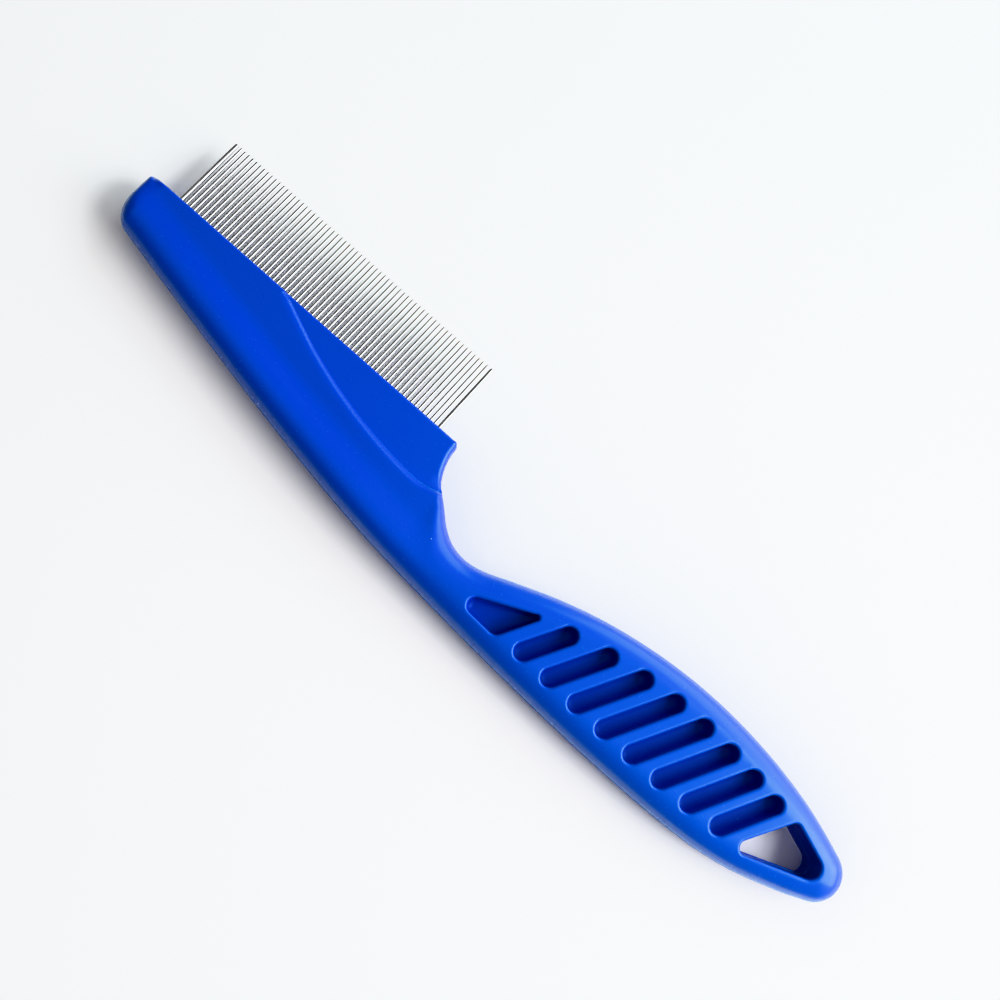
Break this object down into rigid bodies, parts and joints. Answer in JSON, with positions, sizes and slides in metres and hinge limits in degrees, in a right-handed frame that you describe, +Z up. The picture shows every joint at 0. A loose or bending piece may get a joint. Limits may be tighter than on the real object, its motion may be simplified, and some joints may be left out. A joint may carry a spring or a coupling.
{
  "type": "flea comb",
  "caption": "Fine-toothed pet comb: a row of close steel pins stands out of a thin blade under a rounded spine, with a waisted, slotted handle that ends in a hanging hole.",
  "frame": {"origin": "under the middle of the whole comb's box, on the plane that the back rests on", "axes": "+X along the row of pins, from the comb's tip to the end of the handle; +Y to the pins' free ends; +Z up, out of the front face"},
  "size_m": [0.1744, 0.0412, 0.0095],
  "materials": {
    "shell": "satin moulded polypropylene, blue",
    "carrier": "satin moulded polypropylene, blue",
    "pin_steel": "polished stainless steel wire"
  },
  "bodies": {
    "root": {"front_shell": "shell", "back_shell": "shell", "pin_bar": "carrier", "end_pin_tip": "pin_steel", "end_pin_heel": "pin_steel", "pin_pair_01": "pin_steel", "pin_pair_02": "pin_steel", "pin_pair_03": "pin_steel", "pin_pair_04": "pin_steel", "pin_pair_05": "pin_steel", "pin_pair_06": "pin_steel", "pin_pair_07": "pin_steel", "pin_pair_08": "pin_steel", "pin_pair_09": "pin_steel", "pin_pair_10": "pin_steel", "pin_pair_11": "pin_steel", "pin_pair_12": "pin_steel", "pin_pair_13": "pin_steel", "pin_pair_14": "pin_steel", "pin_pair_15": "pin_steel", "pin_pair_16": "pin_steel", "pin_pair_17": "pin_steel", "pin_pair_18": "pin_steel", "pin_pair_19": "pin_steel", "pin_pair_20": "pin_steel", "pin_pair_21": "pin_steel", "pin_pair_22": "pin_steel", "pin_pair_23": "pin_steel", "pin_pair_24": "pin_steel", "pin_pair_25": "pin_steel", "pin_pair_26": "pin_steel", "pin_pair_27": "pin_steel", "pin_pair_28": "pin_steel", "pin_pair_29": "pin_steel", "pin_pair_30": "pin_steel", "pin_pair_31": "pin_steel", "pin_pair_32": "pin_steel"}
  },
  "joints": []
}
